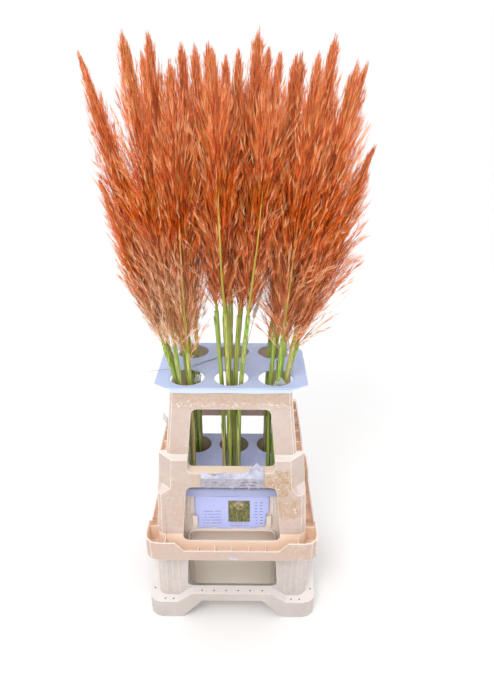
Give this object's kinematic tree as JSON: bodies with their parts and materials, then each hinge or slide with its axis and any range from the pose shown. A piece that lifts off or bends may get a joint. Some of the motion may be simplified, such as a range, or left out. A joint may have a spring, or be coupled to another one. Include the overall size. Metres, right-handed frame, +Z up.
{
  "type": "cut pampas grass in flower container",
  "caption": "Tall fan of cut rust-orange pampas grass plumes on green stems, standing in a two-tier plastic flower container with water and hole sheets.",
  "frame": {"origin": "on the floor under the middle of the container, below the centre of the six stem holes", "axes": "+Z up along the stems, +X to the right and -Y to the front, the side with the label card"},
  "size_m": [0.607, 0.4244, 1.446],
  "materials": {
    "base_plastic": "cream white moulded plastic, satin, scuffed and dusty",
    "upper_plastic": "pinkish beige moulded plastic, satin, scuffed, with ochre dirt",
    "sheet_plastic": "lilac white fluted sheet plastic, faint flutes",
    "water": "clear, slightly cloudy water",
    "label_card": null,
    "label_paper": "torn, crumpled white paper",
    "stem": "smooth green cane with pale and dark streaks",
    "plume": "fine rust orange feathery strands with olive rachis",
    "dry_sprig": "bleached dry grass",
    "grass_blade": "dull green dry grass blade"
  },
  "bodies": {
    "root": {"base_container": "base_plastic", "upper_frame": "upper_plastic", "lower_stem_sheet": "sheet_plastic", "upper_stem_sheet": "sheet_plastic", "water": "water", "label_card": "label_card", "torn_paper": "label_paper", "dry_sprig": "dry_sprig", "loose_blade": "grass_blade", "stem_front_left_1": "stem", "plume_front_left_1": "plume", "stem_front_left_2": "stem", "plume_front_left_2": "plume", "stem_front_left_3": "stem", "plume_front_left_3": "plume", "stem_front_left_4": "stem", "plume_front_left_4": "plume", "stem_front_left_5": "stem", "plume_front_left_5": "plume", "stem_back_left_1": "stem", "plume_back_left_1": "plume", "stem_back_left_2": "stem", "plume_back_left_2": "plume", "stem_back_left_3": "stem", "plume_back_left_3": "plume", "stem_front_middle_1": "stem", "plume_front_middle_1": "plume", "stem_front_middle_2": "stem", "plume_front_middle_2": "plume", "stem_front_middle_3": "stem", "plume_front_middle_3": "plume", "stem_front_middle_4": "stem", "plume_front_middle_4": "plume", "stem_front_middle_5": "stem", "plume_front_middle_5": "plume", "stem_back_middle_1": "stem", "plume_back_middle_1": "plume", "stem_back_middle_2": "stem", "plume_back_middle_2": "plume", "stem_back_middle_3": "stem", "plume_back_middle_3": "plume", "stem_front_right_1": "stem", "plume_front_right_1": "plume", "stem_front_right_2": "stem", "plume_front_right_2": "plume", "stem_front_right_3": "stem", "plume_front_right_3": "plume", "stem_front_right_4": "stem", "plume_front_right_4": "plume", "stem_front_right_5": "stem", "plume_front_right_5": "plume", "stem_back_right_1": "stem", "plume_back_right_1": "plume", "stem_back_right_2": "stem", "plume_back_right_2": "plume", "stem_back_right_3": "stem", "plume_back_right_3": "plume"}
  },
  "joints": []
}
